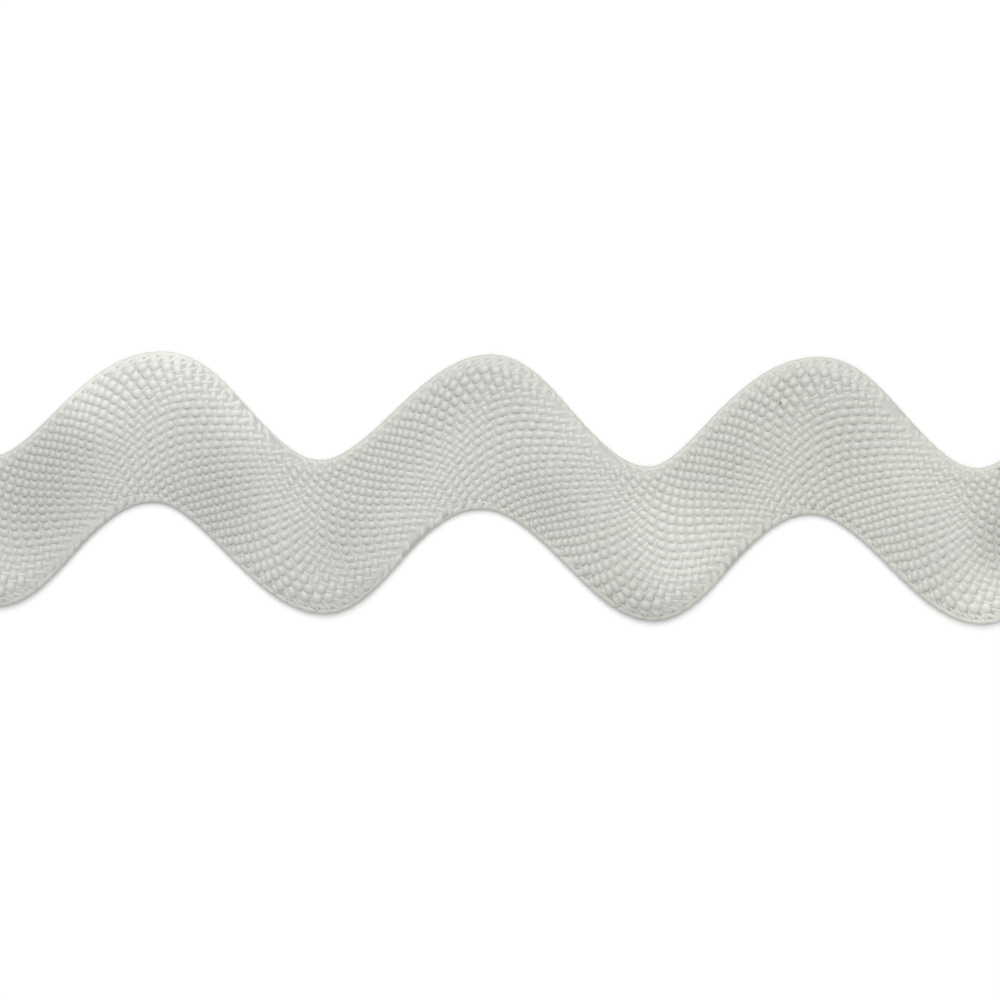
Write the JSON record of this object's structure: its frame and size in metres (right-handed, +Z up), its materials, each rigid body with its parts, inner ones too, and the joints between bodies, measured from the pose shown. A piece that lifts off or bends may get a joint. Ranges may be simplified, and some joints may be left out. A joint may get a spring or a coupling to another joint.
{
  "type": "cut length of ric rac",
  "caption": "Flat length of wide white ric rac braid with even wavy edges and square cut ends, laid flat, for sewing on as a trimming.",
  "frame": {"origin": "centre of the band's plan, on the surface it lies on", "axes": "+X along the length, +Y across the waves towards the far selvage, +Z up out of the surface"},
  "size_m": [0.24, 0.0386, 0.0019],
  "materials": {
    "cotton": "close white yarn braided one over one under, matt with a faint yarn sheen"
  },
  "bodies": {
    "root": {"braid": "cotton"}
  },
  "joints": []
}
